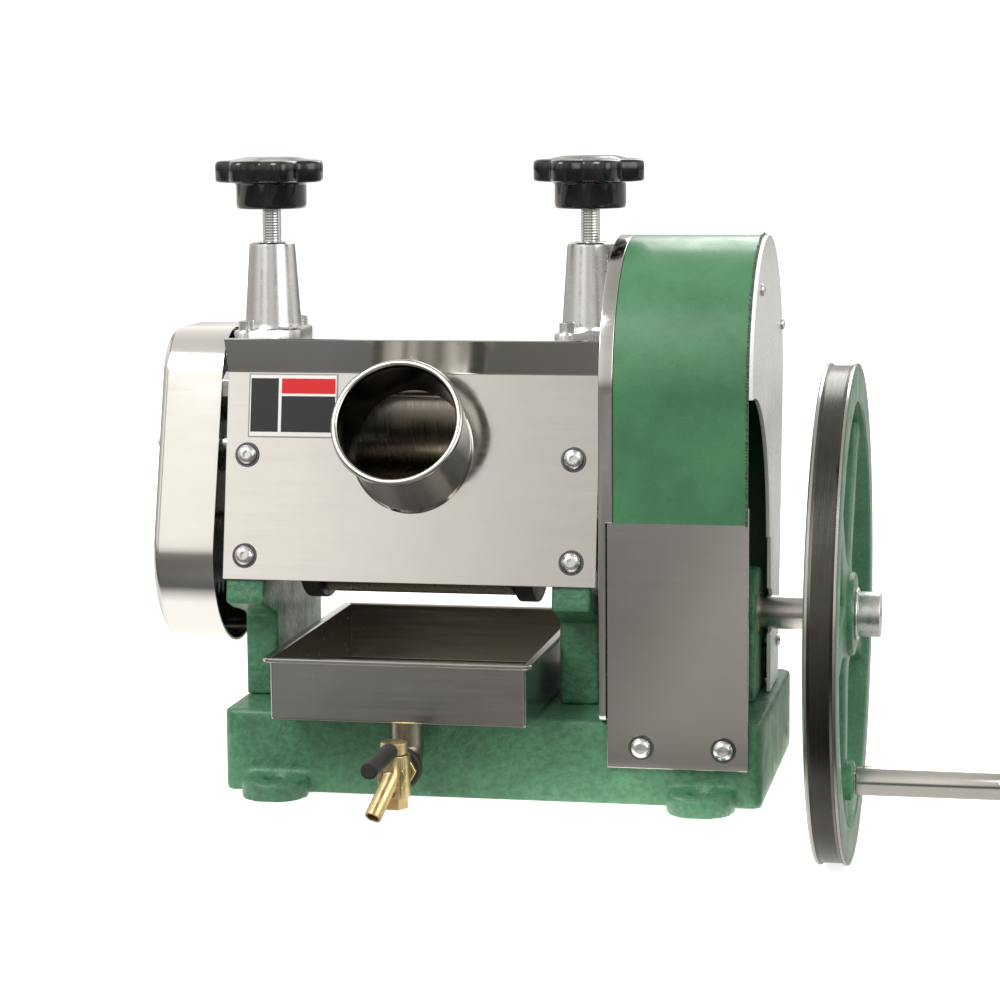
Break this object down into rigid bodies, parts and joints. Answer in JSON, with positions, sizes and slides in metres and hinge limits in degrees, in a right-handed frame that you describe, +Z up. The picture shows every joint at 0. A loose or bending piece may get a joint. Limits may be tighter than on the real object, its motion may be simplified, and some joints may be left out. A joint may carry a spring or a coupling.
{
  "type": "manual sugarcane juicer",
  "caption": "Hand-cranked roller press for sugarcane: geared rollers between cast frames on a bolted base, with a spoked handwheel, feed tube, drip tray and tap.",
  "frame": {"origin": "centre of the base's bottom face, in the middle of the four bench bolts", "axes": "+X to the handwheel, +Y to the back, +Z up"},
  "size_m": [0.5365, 0.3791, 0.4506],
  "materials": {
    "green_casting": "satin green enamel on a rough sand casting",
    "green_sheet": "glossy green enamel on sheet steel",
    "stainless_sheet": "polished stainless sheet",
    "stainless_bar": "turned stainless steel",
    "zinc_plated": "bright zinc plating",
    "cast_aluminium": "polished cast aluminium",
    "black_knob": "glossy black phenolic",
    "black_nylon": "black nylon",
    "black_rubber": "black rubber",
    "brass": "cast brass",
    "bronze": "bronze bush",
    "gear_iron": "greased cast gear",
    "spring_steel": "spring steel",
    "white_enamel": "white enamel",
    "white_label": "white plate with a plain red band"
  },
  "bodies": {
    "frame": {"base_casting": "green_casting", "base_ribs": "green_casting", "left_side_frame": "green_casting", "right_side_frame": "green_casting", "frame_bolts": "zinc_plated", "tie_bars": "stainless_bar", "tie_bar_nuts": "zinc_plated", "feed_plate": "stainless_sheet", "button_screws": "zinc_plated", "feed_tube": "stainless_sheet", "label_plate": "white_label", "left_gear_cover": "stainless_sheet", "cover_spacers": "zinc_plated", "cover_screws": "zinc_plated", "bearing_bushes": "bronze", "top_bearing_blocks": "gear_iron", "spring_housings": "cast_aluminium", "housing_screws": "zinc_plated", "guard_inner_cheek": "stainless_sheet", "guard_band": "green_sheet", "guard_front_panel": "stainless_sheet", "guard_outer_cheek": "white_enamel", "outboard_bearing_bracket": "green_casting", "trash_turner": "stainless_bar", "bagasse_chute": "stainless_sheet", "roller_scraper": "stainless_bar", "left_pressure_spring": "spring_steel", "right_pressure_spring": "spring_steel"},
    "tray": {"juice_tray": "stainless_sheet", "outlet_pipe": "stainless_bar", "outlet_gasket": "black_rubber", "outlet_nut": "brass", "tap_body": "brass"},
    "tap_lever": {"tap_plug": "brass", "plug_nut": "brass", "lever_rod": "zinc_plated", "lever_sleeve": "black_rubber"},
    "wheel": {"handwheel": "green_casting", "wheel_shaft": "stainless_bar", "wheel_key": "spring_steel", "hub_screw": "zinc_plated", "hub_washer": "zinc_plated", "drive_pinion": "gear_iron", "handle_spindle": "zinc_plated", "spindle_nut": "zinc_plated"},
    "grip": {"handle_grip": "stainless_bar"},
    "compound": {"compound_gear": "gear_iron"},
    "top_roller_set": {"top_roller": "stainless_bar", "main_gear": "gear_iron", "top_end_gear": "gear_iron"},
    "front_roller_set": {"front_roller": "stainless_bar", "front_roller_collars": "black_nylon", "front_end_gear": "gear_iron"},
    "rear_roller_set": {"rear_roller": "stainless_bar", "rear_end_gear": "gear_iron"},
    "left_seat": {"left_spring_seat": "zinc_plated"},
    "left_knob": {"left_pressure_screw": "zinc_plated", "left_star_knob": "black_knob"},
    "right_seat": {"right_spring_seat": "zinc_plated"},
    "right_knob": {"right_pressure_screw": "zinc_plated", "right_star_knob": "black_knob"}
  },
  "joints": [
    {"name": "wheel_spin", "type": "hinge", "parent": "frame", "child": "wheel", "pos_m": [0.2, 0.01028, 0.10485], "axis": [1, 0, 0], "continuous": true},
    {"name": "grip_spin", "type": "hinge", "parent": "wheel", "child": "grip", "pos_m": [0.26, 0.01028, -0.00365], "axis": [1, 0, 0], "continuous": true},
    {"name": "compound_spin", "type": "hinge", "parent": "frame", "child": "compound", "pos_m": [0.11, -0.017, 0.1566], "axis": [1, 0, 0], "continuous": true},
    {"name": "top_roller_spin", "type": "hinge", "parent": "frame", "child": "top_roller_set", "pos_m": [-0.05525, 0.00328, 0.23502], "axis": [1, 0, 0], "continuous": true},
    {"name": "front_roller_spin", "type": "hinge", "parent": "frame", "child": "front_roller_set", "pos_m": [-0.05525, -0.017, 0.1566], "axis": [1, 0, 0], "continuous": true},
    {"name": "rear_roller_spin", "type": "hinge", "parent": "frame", "child": "rear_roller_set", "pos_m": [-0.05525, 0.05647, 0.19346], "axis": [1, 0, 0], "continuous": true},
    {"name": "tray_slide", "type": "slide", "parent": "frame", "child": "tray", "axis": [0, -1, 0], "range_m": [0, 0.18]},
    {"name": "tap_turn", "type": "hinge", "parent": "tray", "child": "tap_lever", "pos_m": [-0.048, -0.1453, 0.0255], "axis": [0, 0, 1], "range_deg": [0, 90]},
    {"name": "left_screw_travel", "type": "slide", "parent": "frame", "child": "left_seat", "axis": [0, 0, 1], "range_m": [-0.0088, 0.0053], "deforming": ["left_pressure_spring"]},
    {"name": "left_knob_turn", "type": "hinge", "parent": "left_seat", "child": "left_knob", "pos_m": [-0.16, 0.00328, 0.35], "axis": [0, 0, 1], "range_deg": [-1800, 1080]},
    {"name": "right_screw_travel", "type": "slide", "parent": "frame", "child": "right_seat", "axis": [0, 0, 1], "range_m": [-0.0088, 0.0053], "deforming": ["right_pressure_spring"]},
    {"name": "right_knob_turn", "type": "hinge", "parent": "right_seat", "child": "right_knob", "pos_m": [0.0495, 0.00328, 0.35], "axis": [0, 0, 1], "range_deg": [-1800, 1080]}
  ],
  "couplings": [
    {"joint": "compound_spin", "follows": "wheel_spin", "ratio": -0.5},
    {"joint": "top_roller_spin", "follows": "wheel_spin", "ratio": 0.175},
    {"joint": "front_roller_spin", "follows": "wheel_spin", "ratio": -0.175},
    {"joint": "rear_roller_spin", "follows": "wheel_spin", "ratio": -0.2625},
    {"joint": "left_screw_travel", "follows": "left_knob_turn", "m_per_rad": 0.00027852},
    {"joint": "right_screw_travel", "follows": "right_knob_turn", "m_per_rad": 0.00027852}
  ]
}
